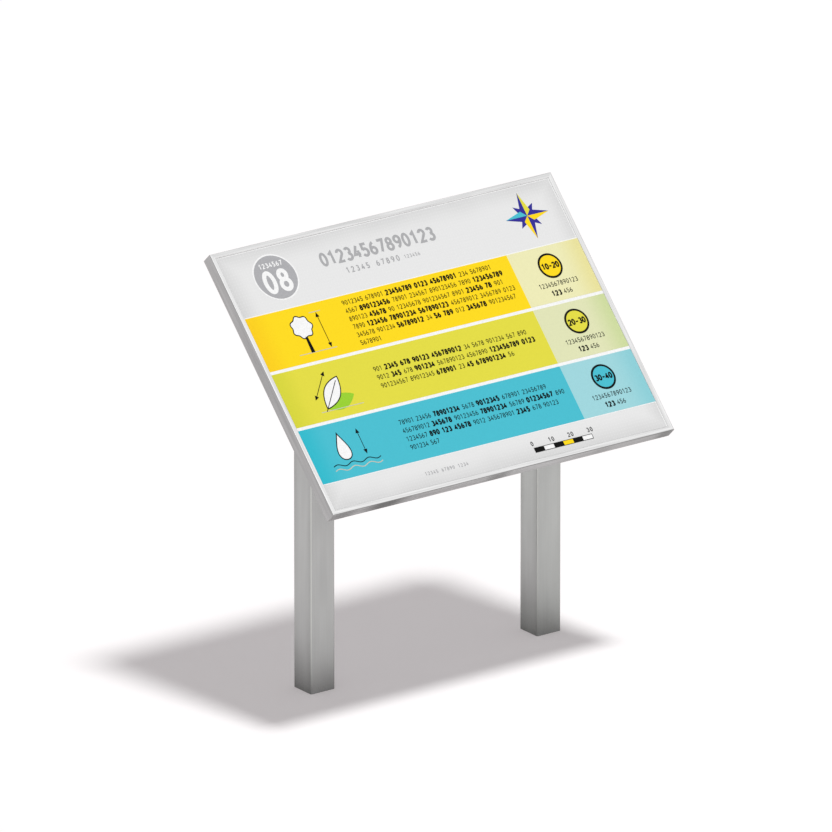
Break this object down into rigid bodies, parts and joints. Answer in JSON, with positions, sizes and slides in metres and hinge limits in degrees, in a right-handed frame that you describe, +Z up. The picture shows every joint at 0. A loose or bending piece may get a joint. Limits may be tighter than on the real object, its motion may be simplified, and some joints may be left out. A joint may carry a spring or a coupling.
{
  "type": "information board",
  "caption": "Sloped information board: a banded print face in a shallow folded metal frame, bolted to the mitred heads of square tube posts that stand on the ground.",
  "frame": {"origin": "on the ground, midway between the two posts' centres", "axes": "+X to the reader's right, -Y towards the reader, +Z up"},
  "size_m": [0.85, 0.4365, 0.905],
  "materials": {
    "post_steel": "satin",
    "plate_steel": "satin",
    "weld_steel": "satin",
    "rail_steel": "satin",
    "frame_steel": "satin",
    "zinc_steel": "satin",
    "cover_aluminium": "satin",
    "gasket_rubber": "matte",
    "panel_grey": "satin",
    "film_yellow": "satin",
    "film_lime": "satin",
    "film_cyan": "satin",
    "film_pale": "satin",
    "film_badges": "satin",
    "film_grey": "satin",
    "film_black": "satin",
    "foam": "matte"
  },
  "bodies": {
    "root": {"post_left": "post_steel", "post_right": "post_steel", "foot_plate_left": "plate_steel", "foot_plate_right": "plate_steel", "head_plate_left": "plate_steel", "head_plate_right": "plate_steel", "head_weld_left": "weld_steel", "head_weld_right": "weld_steel", "rail_left": "rail_steel", "rail_right": "rail_steel", "nut_plate_left": "zinc_steel", "nut_plate_right": "zinc_steel", "head_bolts": "zinc_steel", "head_washers": "zinc_steel", "frame_top": "frame_steel", "frame_bottom": "frame_steel", "frame_left": "frame_steel", "frame_right": "frame_steel", "face_gasket": "gasket_rubber", "print_panel": "panel_grey", "band_upper": "film_yellow", "band_middle": "film_lime", "band_lower": "film_cyan", "band_tints": "film_pale", "header_disc": "film_grey", "badge_discs": "film_badges", "badge_rings": "film_black", "foam_top": "foam", "foam_bottom": "foam", "foam_left": "foam", "foam_right": "foam", "rear_cover": "cover_aluminium", "cover_screws": "zinc_steel"}
  },
  "joints": []
}
